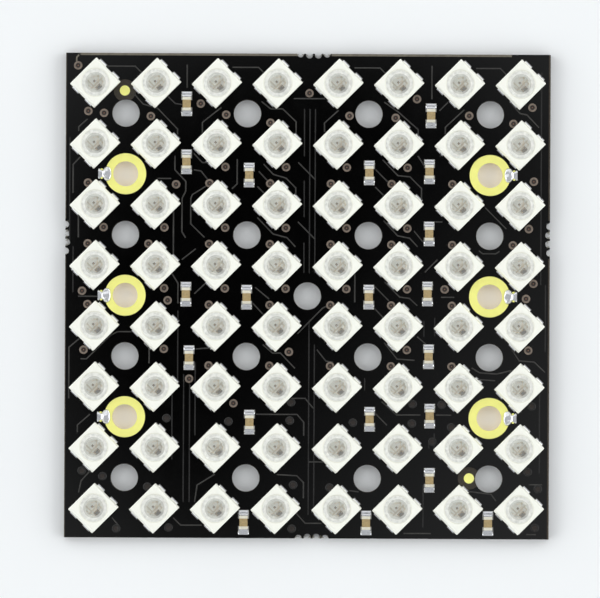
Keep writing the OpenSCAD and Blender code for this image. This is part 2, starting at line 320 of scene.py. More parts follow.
def surface(name, color, low_roughness, high_roughness, metallic=0.0, spread=0.04, size=0.4,
            pit_size=0.05, pit_depth=0.002):
    """A finish whose colour, roughness and relief all vary a little."""
    material, shader = new_finish(name, color, high_roughness, metallic)
    mottle(material, shader, color, size, spread)
    roughen(material, shader, size * 1.7, low_roughness, high_roughness)
    pit(material, shader, pit_size, pit_depth)
    return material


def buried_silicone():
    """Clear silicone where it sits against the cup: nothing mirrors there, and it only tints a little."""
    material = bpy.data.materials.new("buried_silicone")
    material.use_nodes = True
    tree = material.node_tree
    tree.nodes.remove(tree.nodes["Principled BSDF"])
    seen_through = tree.nodes.new("ShaderNodeBsdfTransparent")
    tint = tones(material, grain(material, 0.8), [(0.3, (0.985, 0.99, 0.98)), (0.7, (1, 1, 1))])
    join(material, tint, seen_through.inputs["Color"])
    join(material, seen_through.outputs["BSDF"], tree.nodes["Material Output"].inputs["Surface"])
    return material


def clear_silicone(name, haze_share):
    """Cast silicone: clear and glossy on top, with a share of haze in it."""
    material = bpy.data.materials.new(name)
    material.use_nodes = True
    tree = material.node_tree
    tree.nodes.remove(tree.nodes["Principled BSDF"])
    clear = node(material, "ShaderNodeBsdfGlass", Color=(1, 1, 1, 1), Roughness=0.0, IOR=1.41)
    haze = node(material, "ShaderNodeBsdfDiffuse", Color=(0.96, 0.97, 0.92, 1))
    mix = tree.nodes.new("ShaderNodeMixShader")
    bump = node(material, "ShaderNodeBump", Strength=1.0, Distance=0.004 * MM)
    share = node(material, "ShaderNodeMapRange", From_Min=0.3, From_Max=0.7, To_Min=haze_share * 0.8,
                 To_Max=haze_share * 1.2)
    join(material, grain(material, 0.9, 1.0), bump.inputs["Height"])
    join(material, grain(material, 0.5), share.inputs["Value"])
    join(material, bump.outputs["Normal"], clear.inputs["Normal"])
    join(material, share.outputs["Result"], mix.inputs["Fac"])
    join(material, clear.outputs["BSDF"], mix.inputs[1])
    join(material, haze.outputs["BSDF"], mix.inputs[2])
    join(material, mix.outputs["Shader"], tree.nodes["Material Output"].inputs["Surface"])
    return material


def plated_gold():
    """Flat gold on the rings, warmer and deeper down the walls of the bores."""
    material, shader = new_finish("gold_plating", GOLD_COLOR, 0.5, 0.12)
    geometry = material.node_tree.nodes.new("ShaderNodeNewGeometry")
    split = material.node_tree.nodes.new("ShaderNodeSeparateXYZ")
    join(material, geometry.outputs["True Normal"], split.inputs["Vector"])
    upright = node(material, "ShaderNodeMath")
    upright.operation = "ABSOLUTE"
    join(material, split.outputs["Z"], upright.inputs[0])
    stops = [(0.3, shade(GOLD_COLOR, 0.98)), (0.7, shade(GOLD_COLOR, 1.02))]
    flat = tones(material, grain(material, 1.5), stops)
    mix = material.node_tree.nodes.new("ShaderNodeMix")
    mix.data_type = "RGBA"
    join(material, upright.outputs[0], mix.inputs["Factor"])
    mix.inputs[6].default_value = (*BORE_COLOR, 1)
    join(material, flat, mix.inputs[7])
    join(material, mix.outputs[2], shader.inputs["Base Color"])
    roughen(material, shader, 2.0, 0.45, 0.55)
    pit(material, shader, 0.2, 0.002)
    return material


GOLD_COLOR = (0.985, 0.97, 0.28)
BORE_COLOR = (0.95, 0.78, 0.45)
HOUSING_WHITE = surface("moulded_white", (0.92, 0.925, 0.84), 0.45, 0.6, spread=0.012, pit_depth=0.0015)
# Painted light: the cup walls are a lighter copy of the housing white, standing in for light that the
# silicone gathers into the cup
CUP_PAINTED_LIGHT_WHITE = surface("cup_painted_light_white", (0.98, 0.975, 0.93), 0.4, 0.55, spread=0.01, size=0.5)
CUP_FLOOR = surface("cup_floor_beige", (0.70, 0.64, 0.50), 0.4, 0.55, spread=0.03, size=0.5)
# Painted shade: a grey-green copy of the housing white, for the shade in the groove round the silicone
RIM_PAINTED_SHADE = surface("cup_rim_painted_shade", (0.80, 0.80, 0.70), 0.4, 0.55, spread=0.03)
SILVER = surface("silver_plating", (0.97, 0.965, 0.88), 0.4, 0.55, 0.0, spread=0.02, size=0.6)
TERMINAL_SILVER = surface("tinned_terminal", (0.92, 0.91, 0.82), 0.35, 0.5, 0.12, spread=0.05, size=0.3)
SILICONE = [clear_silicone("clear_silicone", 0.18), clear_silicone("hazy_silicone", 0.4),
            clear_silicone("milky_silicone", 0.68)]
BURIED_SILICONE = buried_silicone()
GOLD_WIRE = surface("gold_wire", (0.90, 0.66, 0.38), 0.3, 0.45, 0.4)
CHIP_DARK = surface("silicon_chip", (0.075, 0.055, 0.025), 0.25, 0.4, spread=0.25, size=0.15)
DIE_RED = surface("red_die_dark", (0.13, 0.10, 0.06), 0.25, 0.4, spread=0.2, size=0.1)
DIE_CLEAR = surface("sapphire_die", (0.62, 0.63, 0.52), 0.15, 0.3, spread=0.1, size=0.1)
MASK = surface("black_mask", (0.0006, 0.0006, 0.0006), 0.035, 0.05, spread=0.3, size=1.6, pit_size=0.6,
               pit_depth=0.0003)
TRACK = surface("mask_over_track", (0.030, 0.029, 0.026), 0.16, 0.24, spread=0.3, size=1.2, pit_size=0.5,
                pit_depth=0.001)
FAINT_TRACK = surface("mask_over_long_track", (0.011, 0.0105, 0.010), 0.12, 0.2, spread=0.3, size=1.2)
BARE_EDGE = surface("bare_edge", (0.040, 0.028, 0.016), 0.5, 0.7, spread=0.35, size=0.3)
# Lit and shaded copies of the via ring: the brown one is a painted highlight of the key light mirrored over
# the upper vias, the dark one is the same ring without it
VIA_PAINTED_HIGHLIGHT = surface("via_ring_painted_highlight", (0.185, 0.145, 0.115), 0.25, 0.4, spread=0.25, size=0.3)
PLAIN_VIA_RING = surface("mask_over_via", (0.010, 0.009, 0.008), 0.2, 0.3, spread=0.4, size=0.3)
VIA_HOLLOW = surface("mask_in_via", (0.016, 0.010, 0.007), 0.3, 0.45, spread=0.4, size=0.2)
VIA_DOT = surface("copper_in_via", (0.22, 0.11, 0.07), 0.3, 0.45, spread=0.3, size=0.1)
# The upper edge's border strip: copper under the mask, with its light brown tone a painted highlight of the
# key light like the upper via rings
BORDER_PAINTED_HIGHLIGHT = surface("border_strip_painted_highlight", (0.145, 0.13, 0.098), 0.3, 0.45, spread=0.2, size=0.8)
LAMINATE = surface("laminate", (0.028, 0.021, 0.012), 0.5, 0.7, spread=0.4, size=0.25)
TORN_LAMINATE = surface("torn_laminate", (0.33, 0.31, 0.24), 0.6, 0.8, spread=0.3, size=0.15)
GOLD = plated_gold()
TINNED_PAD = surface("tinned_pad", (0.46, 0.46, 0.45), 0.3, 0.45, 0.9, spread=0.1, size=0.2)
SOLDER = surface("bright_solder", (0.80, 0.81, 0.84), 0.1, 0.18, 0.95, spread=0.05, size=0.2, pit_size=0.12,
                 pit_depth=0.001)
CERAMIC = surface("tan_ceramic", (0.38, 0.28, 0.13), 0.3, 0.45, spread=0.2, size=0.3, pit_depth=0.003)
TIN = surface("tinned_end", (0.80, 0.77, 0.64), 0.4, 0.55, 0.4, spread=0.06, size=0.2, pit_depth=0.004)


def dress(names, finish):
    """Gives CAD nodes that stay in place a finish."""
    for name in names:
        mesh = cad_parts[name].data
        mesh.materials.clear()
        mesh.materials.append(finish)


# ---- LEDs, each shaped with its terminals along x and its soles at height 0 ----

HOUSING_HALF = 2.5
FOOT_HALF = 2.68
FAR_FLARE = 0.18
NEAR_FLARE = 0.30
FLARE_HEIGHT = 0.9
HOUSING_HEIGHT = 1.6
HOUSING_FOOT = 0.13
MOUTH_RADIUS = 2.0
FLOOR_RADIUS = 1.65
RIM_RADIUS = 2.2
FLOOR_HEIGHT = 0.63
LEAD_THICKNESS = 0.13
TERMINAL_WIDTH = 1.3
TERMINAL_OFFSET = 1.3
SOLE_START = 1.78
CORNER_RADIUS = 0.09
TOP_BEVEL = 0.07
RIM_DEPTH = 0.12
PLATE_CORNER_RADIUS = 0.12
TERMINAL_BEND = 0.1
TERMINAL_ROUND = 0.03


def housing():
    """The moulded housing: cup, rim, top face, flared sides and foot."""
    shape = Shape()
    top = rounded_outline(HOUSING_HALF, HOUSING_HALF, CORNER_RADIUS)

    def outline(flare, inset):
        points = rounded_outline(HOUSING_HALF, HOUSING_HALF, CORNER_RADIUS)
        along = (HOUSING_HALF - inset) / HOUSING_HALF
        near = (HOUSING_HALF + flare * NEAR_FLARE - inset) / HOUSING_HALF
        far = (HOUSING_HALF + flare * FAR_FLARE - inset) / HOUSING_HALF
        return [(p.x * (far if p.x > 0 else near), p.y * along) for p in points]

    def circle(radius, z):
        return shape.ring(level(on_circle(top, radius), z))

    floor = circle(FLOOR_RADIUS - 0.06, FLOOR_HEIGHT - 0.03)
    shape.face(floor, 3)
    wall = [floor,
            circle(FLOOR_RADIUS, FLOOR_HEIGHT - 0.01),
            circle(FLOOR_RADIUS + 0.03, FLOOR_HEIGHT + 0.06),
            circle(MOUTH_RADIUS - 0.02, HOUSING_HEIGHT - RIM_DEPTH - 0.04),
            circle(MOUTH_RADIUS, HOUSING_HEIGHT - RIM_DEPTH)]
    # Finish 1, the cup walls, is painted light: a lighter copy of the housing white
    shape.bands(wall, 1)
    # The rim's groove faces, finish 2, get painted shade: a grey-green copy of the white for the shade in the
    # groove
    rim = [wall[-1], circle(MOUTH_RADIUS + 0.03, HOUSING_HEIGHT - 0.1),
           circle(RIM_RADIUS - 0.05, HOUSING_HEIGHT - 0.03)]
    shape.bands(rim, 2)
    lean = TOP_BEVEL / (HOUSING_HEIGHT - FLARE_HEIGHT)
    sides = [rim[-1], circle(RIM_RADIUS, HOUSING_HEIGHT),
             shape.ring(level(outline(0, TOP_BEVEL), HOUSING_HEIGHT)),
             shape.ring(level(outline(0, TOP_BEVEL * 0.3), HOUSING_HEIGHT - TOP_BEVEL * 0.3)),
             shape.ring(level(outline(lean, 0), HOUSING_HEIGHT - TOP_BEVEL)),
             shape.ring(level(outline(1, 0), FLARE_HEIGHT)),
             shape.ring(level(outline(1, 0), HOUSING_FOOT))]
    shape.bands(sides, 0)
    shape.face(sides[-1], 0)
    return shape


def lead_plate(low, high):
    """One plate of the lead frame in the cup's floor, between two corners."""
    shape = Shape()
    centre = (Vector(low) + Vector(high)) / 2
    half = (Vector(high) - Vector(low)) / 2
    bottom = FLOOR_HEIGHT - LEAD_THICKNESS

    def outline(inset, z):
        points = rounded_outline(half.x - inset, half.y - inset, PLATE_CORNER_RADIUS, 3, 2)
        return shape.ring([(centre.x + p.x, centre.y + p.y, z) for p in points])

    shape.tube([outline(0, bottom), outline(0, FLOOR_HEIGHT - 0.02), outline(0.02, FLOOR_HEIGHT)])
    return shape


def terminal(side_x, side_y):
    """The strip that leaves the housing, turns down its side and ends under it."""
    half = LEAD_THICKNESS / 2
    bend_x = FOOT_HALF + half - TERMINAL_BEND
    upper_z = FLOOR_HEIGHT - half - TERMINAL_BEND
    lower_z = half + TERMINAL_BEND
    path = [((x, FLOOR_HEIGHT - half), (0, 1)) for x in (PLATE_END, bend_x)]

    def bend(centre_z, degrees):
        for angle in map(math.radians, degrees):
            out = (math.cos(angle), math.sin(angle))
            path.append(((bend_x + TERMINAL_BEND * out[0], centre_z + TERMINAL_BEND * out[1]), out))

    bend(upper_z, (67.5, 45, 22.5, 0))
    bend(lower_z, (0, -22.5, -45, -67.5, -90))
    path.append(((SOLE_START, half), (0, -1)))
    across = Vector((0, side_y, 0))
    steps = [
        (Vector((side_x * p[0], side_y * TERMINAL_OFFSET, p[1])), Vector((side_x * o[0], 0, o[1])), across)
        for p, o in path
    ]
    wide = TERMINAL_WIDTH / 2
    flat = wide - TERMINAL_ROUND
    thick = half - TERMINAL_ROUND
    section = [(-flat, -half), (flat, -half), (wide, -thick), (wide, thick),
               (flat, half), (-flat, half), (-wide, thick), (-wide, -thick)]
    return swept(steps, section, 1)


LEAD_GAP_ABOVE = -0.6
LEAD_GAP_BELOW = 0.83
LEAD_GAP_Y = -0.2
HALF_LEAD_GAP = 0.1
PLATE_END = 1.9
PLATE_SIDE = 1.95


def leads():
    shape = Shape()
    for side_y, split in ((1, LEAD_GAP_ABOVE), (-1, LEAD_GAP_BELOW)):
        inner_y = LEAD_GAP_Y + side_y * HALF_LEAD_GAP
        y_span = sorted((inner_y, side_y * PLATE_SIDE))
        for side_x in (-1, 1):
            x_span = sorted((split + side_x * HALF_LEAD_GAP, side_x * PLATE_END))
            shape.add(lead_plate((x_span[0], y_span[0]), (x_span[1], y_span[1])))
            shape.add(terminal(side_x, side_y))
    return shape


HAZY_RADIUS = 1.2
MILKY_RADIUS = 1.5


def encapsulant():
    """The silicone in the cup, slightly domed and rounded off at its edge."""
    steps = 48
    edge_height = HOUSING_HEIGHT - 0.13
    profile = [(FLOOR_RADIUS - 0.03, FLOOR_HEIGHT + 0.005), (MOUTH_RADIUS - 0.03, edge_height - 0.05)]
    for k in range(12):
        share = 1 - k / 12
        rise = 0.11 * (1 - share ** 6) + 0.015 * (1 - share ** 2)
        profile.append(((MOUTH_RADIUS - 0.01) * share, edge_height + rise))
    shape = lathe(profile, steps, start_closed=True)
    for index, face in enumerate(shape.faces):
        radius = max(math.hypot(*shape.points[i][:2]) for i in face)
        shape.finishes[index] = 2 if radius > MILKY_RADIUS else 1 if radius > HAZY_RADIUS else 0
    for index in (*range(steps), len(shape.faces) - 1):
        shape.finishes[index] = 3
    centre = shape.ring([(0, 0, edge_height + 0.125)])[0]
    last_ring = range(centre - steps, centre)
    for k in range(steps):
        shape.face((last_ring[k], last_ring[(k + 1) % steps], centre))
    return shape


# Middles of the chips in the cup, in the LED's own axes
DRIVER = Vector((-0.15, -0.93))
RED_DIE = Vector((0, 0.27))
GREEN_DIE = Vector((0.92, 0.38))
BLUE_DIE = Vector((-1.12, 0.34))
DRIVER_TOP = FLOOR_HEIGHT + 0.2
DIE_TOP = FLOOR_HEIGHT + 0.12
WIRE_RADIUS = 0.018


def bond(start, end, start_z, end_z, rise=0.22):
    """A bond wire: a ball on its start, an arc, and a flattened foot at its end."""
    a = Vector((*start, start_z))
    b = Vector((*end, end_z))
    points = []
    for k in range(11):
        t = k / 10
        lift = rise * math.sin(math.pi * t ** 0.7)
        points.append(a.lerp(b, t) + Vector((0, 0, lift)))
    shape = wire(points, WIRE_RADIUS)
    ball = [(0.001, 0), (0.05, 0.002), (0.055, 0.02), (0.03, 0.045), (0.001, 0.05)]
    foot = [(0.001, 0), (0.045, 0.002), (0.04, 0.012), (0.001, 0.02)]
    shape.add(lathe(ball, 10), Matrix.Translation(a))
    shape.add(lathe(foot, 10), Matrix.Translation(b))
    return shape


def bond_wires():
    shape = Shape()
    for x, y, end, end_z in (
        (-0.30, 0.30, RED_DIE, DIE_TOP),
        (0.28, 0.32, GREEN_DIE + Vector((-0.06, -0.05)), DIE_TOP),
        (-0.33, 0.05, BLUE_DIE + Vector((0.06, -0.06)), DIE_TOP),
        (0.32, 0.10, (1.25, -0.62), FLOOR_HEIGHT), (0.32, -0.25, (1.2, -1.0), FLOOR_HEIGHT),
        (-0.1, 0.33, (0.35, 0.12), FLOOR_HEIGHT), (-0.34, -0.2, (-1.15, -0.75), FLOOR_HEIGHT),
        (0.1, 0.34, (0.55, 0.1), FLOOR_HEIGHT),
    ):
        shape.add(bond(DRIVER + Vector((x, y)), end, DRIVER_TOP, end_z))
    shape.add(bond(GREEN_DIE + Vector((0.06, 0.05)), (0.35, 0.75), DIE_TOP, FLOOR_HEIGHT, 0.15))
    shape.add(bond(BLUE_DIE + Vector((-0.06, 0.06)), (-0.9, 0.95), DIE_TOP, FLOOR_HEIGHT, 0.15))
    return shape


def mound(outline, height, across_steps=14):
    """Solder along +x from its outline as [distance, half of the width] and its height at a share across."""
    shape = Shape()
    rings = []
    for u, half in outline:
        points = [(u, -half, -0.02)]
        for k in range(across_steps + 1):
            share = 2 * k / across_steps - 1
            points.append((u, half * share, 0.004 + height(u, share)))
        points.append((u, half, -0.02))
        rings.append(shape.ring(points))
    shape.tube(rings)
    return shape


CLIMB = 0.085


def fillet(reach, height, pad_half, top_half, pad_height=0.0, corner_height=0.0):
    """Solder from a steep end face down to its pad, drawn in towards the top, its corners a little raised."""
    steps = 12
    outline = []
    for k in range(steps + 1):
        u = reach * (k / steps) ** 1.4
        draw = math.exp(-u / (0.18 * reach))
        rounding = 0.12 * (k / steps) ** 12 * pad_half
        outline.append((u - 0.02, pad_half + (top_half - pad_half) * draw - rounding))

    def surface_height(u, share):
        out = min(max((u + 0.02) / reach, 0), 1)
        climb = height * math.exp(-out / CLIMB) * (1 - 0.35 * share ** 2)
        corner = corner_height * abs(share) ** 3 * math.exp(-((out - 0.72) / 0.2) ** 2)
        return (climb + pad_height + corner) * (1 - out ** 12) * (1 - 0.95 * abs(share) ** 14)

    return mound(outline, surface_height)


def led_solder():
    shape = Shape()
    one = fillet(0.18, 0.4, TERMINAL_WIDTH / 2, TERMINAL_WIDTH / 2 - 0.02)
    for side in (0, 180):
        for y in (-TERMINAL_OFFSET, TERMINAL_OFFSET):
            place = Matrix.Rotation(math.radians(side), 4, "Z")
            shape.add(one, place @ Matrix.Translation((FOOT_HALF + LEAD_THICKNESS, y, 0)))
    return shape


housing_shape = housing()
leads_shape = leads()
encapsulant_shape = encapsulant()
wires_shape = bond_wires()
led_solder_shape = led_solder()
for row in LED_ROWS:
    places = led_places(row)
    make_piece(f"moulded_housings_row_{row}", housing_shape, places,
               [HOUSING_WHITE, CUP_PAINTED_LIGHT_WHITE, RIM_PAINTED_SHADE, CUP_FLOOR], [f"led_housings_row_{row}"])
    make_piece(f"formed_leads_row_{row}", leads_shape, places, [SILVER, TERMINAL_SILVER],
               [f"led_leads_row_{row}"])
    make_piece(f"domed_encapsulants_row_{row}", encapsulant_shape, places, [*SILICONE, BURIED_SILICONE],
               [f"led_encapsulants_row_{row}"])
    make_piece(f"bond_wires_row_{row}", wires_shape, places, [GOLD_WIRE])
every_led = [place for row in LED_ROWS for place in led_places(row)]
make_piece("led_solder_fillets", led_solder_shape, every_led, [SOLDER], ["led_solder"])
dress(["led_driver_chips"], CHIP_DARK)
dress(["led_red_dies"], DIE_RED)
dress(["led_green_dies", "led_blue_dies"], DIE_CLEAR)


# ---- Capacitors, each shaped with its length along y ----

CAP_LENGTH = 2.0
CAP_WIDTH = 1.25
CAP_HEIGHT = 0.85
CAP_END = 0.42
CAP_PADS_LENGTH = 3.6
CAP_PAD_WIDTH = 1.55


def block(half_x, height, y_start, y_end, radius, start_inset, end_inset):
    """A block along y with round edges, drawn in by the insets at its ends."""
    shape = Shape()

    def ring(y, inset):
        points = rounded_outline(half_x - inset, height / 2 - inset, radius, 3, 2)
        return shape.ring([(p.x, y, height / 2 + p.y) for p in points])

    rings = [ring(y_start, start_inset), ring(y_start + start_inset, 0)]
    rings += [ring(y_end - end_inset, 0), ring(y_end - end_inset * 0.3, end_inset * 0.3),
              ring(y_end, end_inset)]
    shape.tube(rings)
    return shape


def capacitor_ends():
    shape = Shape()
    half = CAP_LENGTH / 2
    end = block(CAP_WIDTH / 2, CAP_HEIGHT, half - CAP_END, half, 0.1, 0.015, 0.08)
    for turn in (0, 180):
        shape.add(end, Matrix.Rotation(math.radians(turn), 4, "Z"))
    return shape


def capacitor_solder():
    shape = Shape()
    reach = (CAP_PADS_LENGTH - CAP_LENGTH) / 2
    one = fillet(reach, 0.55, CAP_PAD_WIDTH / 2 + 0.02, CAP_WIDTH / 2, 0.1, 0.08)
    to_end = Matrix.Translation((CAP_LENGTH / 2, 0, 0))
    for turn in (90, -90):
        shape.add(one, Matrix.Rotation(math.radians(turn), 4, "Z") @ to_end)
    return shape


capacitor_places = [stand((low + high) / 2) for low, high in solid_boxes("capacitor_bodies")]
CERAMIC_INSET = 0.03
body_half = CAP_LENGTH / 2 - CERAMIC_INSET
ceramic_shape = block(CAP_WIDTH / 2 - CERAMIC_INSET, CAP_HEIGHT - 2 * CERAMIC_INSET, -body_half, body_half,
                      0.06, 0.01, 0.01)
ceramic_places = [place @ Matrix.Translation((0, 0, CERAMIC_INSET)) for place in capacitor_places]
make_piece("ceramic_bodies", ceramic_shape, ceramic_places, [CERAMIC],
           ["capacitor_bodies"])
make_piece("tinned_capacitor_ends", capacitor_ends(), capacitor_places, [TIN],
           ["capacitor_ends"])
make_piece("capacitor_solder_fillets", capacitor_solder(), capacitor_places, [SOLDER],
           ["capacitor_solder"])


# ---- Board ----

PLATED_HOLES = 6

dress(["circuit_board"], LAMINATE)
dress(["solder_mask"], MASK)
dress(["copper_pads"], TINNED_PAD)
dress(["camera_marks"] + [f"plated_hole_{i}" for i in range(1, PLATED_HOLES + 1)], GOLD)


def via_ring():
    """The rounded relief that the mask makes over a via, with a hollow and a dot of copper in it."""
    shape = Shape()
    collar = [(0.62, -0.001), (0.60, 0.012), (0.55, 0.026), (0.48, 0.03), (0.41, 0.026), (0.35, 0.014)]
    hollow = [(0.35, 0.014), (0.31, 0.005), (0.2, 0.002), (0.09, 0.0016)]
    dot = [(0.09, 0.0016), (0.07, 0.006), (0.001, 0.008)]
    for finish, profile in enumerate((collar, hollow, dot)):
        shape.add(lathe(profile, 28, finish=finish))
    return shape


via_places = [stand((low + high) / 2) for low, high in solid_boxes("via_collars")]
# Vias above this row, and one lone via, carry the painted highlight
LAST_HIGHLIGHTED_ROW = 4.95
LONE_HIGHLIGHTED_VIA = (2.29, 5.27)


def has_painted_highlight(place):
    """Whether a via gets the painted highlight, a lighter brown copy of its ring for the key light's
    reflection, as it does over the upper rows.
    """
    spot = place.translation
    lone = stand(at(*LONE_HIGHLIGHTED_VIA)).translation
    return spot.y > at(0, LAST_HIGHLIGHTED_ROW).y or (spot - lone).length < 1


highlighted_via_places = [place for place in via_places if has_painted_highlight(place)]
plain_via_places = [place for place in via_places if not has_painted_highlight(place)]
# The highlighted vias get the painted highlight copy of the ring finish, and the rest get the dark copy
make_piece("via_reliefs", via_ring(), highlighted_via_places, [VIA_PAINTED_HIGHLIGHT, VIA_HOLLOW, VIA_DOT],
           ["via_collars"])
make_piece("plain_via_reliefs", via_ring(), plain_via_places, [PLAIN_VIA_RING, VIA_HOLLOW, VIA_HOLLOW])

# Outline of the solder on a terminal ring: distance from the ring's centre, and half of the width there
SOLDER_OUTLINE = [
    (1.80, 0.45), (1.86, 0.75), (2.0, 0.98), (2.25, 1.10), (2.5, 1.10), (2.75, 0.96), (2.92, 0.74),
    (3.04, 0.55), (3.12, 0.50), (3.22, 0.54), (3.36, 0.64), (3.52, 0.75), (3.64, 0.80), (3.68, 0.72),
]
LUMP_CENTRE = 2.42
LUMP_HALF = 0.66
SOLDER_HEIGHT = 0.34
TAIL_HEIGHT = 0.14
WAVES = 7


def terminal_solder(seed):
    """A lumpy blob of solder on a terminal ring, with a neck before its pad's end, pointing along +x."""
    chance = random.Random(seed)
    waves = [
        (chance.uniform(3, 9), chance.uniform(0, 2 * math.pi), chance.uniform(0, math.pi))
        for _ in range(WAVES)
    ]

    def height(u, share):
        half = max(h for d, h in SOLDER_OUTLINE if abs(d - u) < 0.01)
        lump = max(0, 1 - ((u - LUMP_CENTRE) / LUMP_HALF) ** 2) ** 0.6
        dome = (1 - abs(share) ** 2.6) ** 0.6
        v = half * share
        ripples = [math.sin(f * (u * math.cos(a) + v * math.sin(a)) + phase) for f, phase, a in waves]
        smooth = (TAIL_HEIGHT + (SOLDER_HEIGHT - TAIL_HEIGHT) * lump) * dome
        return min(smooth * (1 + 0.4 * (sum(ripples) / WAVES)), SOLDER_HEIGHT + 0.05)

    return mound(SOLDER_OUTLINE, height, 18)


for index in range(1, PLATED_HOLES + 1):
    ring = middle(f"plated_hole_{index}")
    blob = middle(f"terminal_solder_{index}")
    place = stand(ring, 0 if blob.x > ring.x else 180)
    make_piece(f"terminal_solder_blob_{index}", terminal_solder(index), [place], [SOLDER],
               [f"terminal_solder_{index}"], sharp=75)


def strip(points, width, height):
    """A low flat-topped strip through points, mitred at its corners."""
    shape = Shape()
    rings = []
    for k, p in enumerate(points):
        before = (p - points[k - 1]).normalized() if k > 0 else (points[1] - p).normalized()
        after = (points[k + 1] - p).normalized() if k < len(points) - 1 else before
        along = (before + after).normalized()
        side = Vector((-along.y, along.x)) / max(along.dot(before), 0.5)
        section = ((-0.5, -0.001), (-0.36, height), (0.36, height), (0.5, -0.001))
        across = side * width
        rings.append(shape.ring([(p.x + across.x * a, p.y + across.y * a, z) for a, z in section]))
    shape.tube(rings)
    return shape


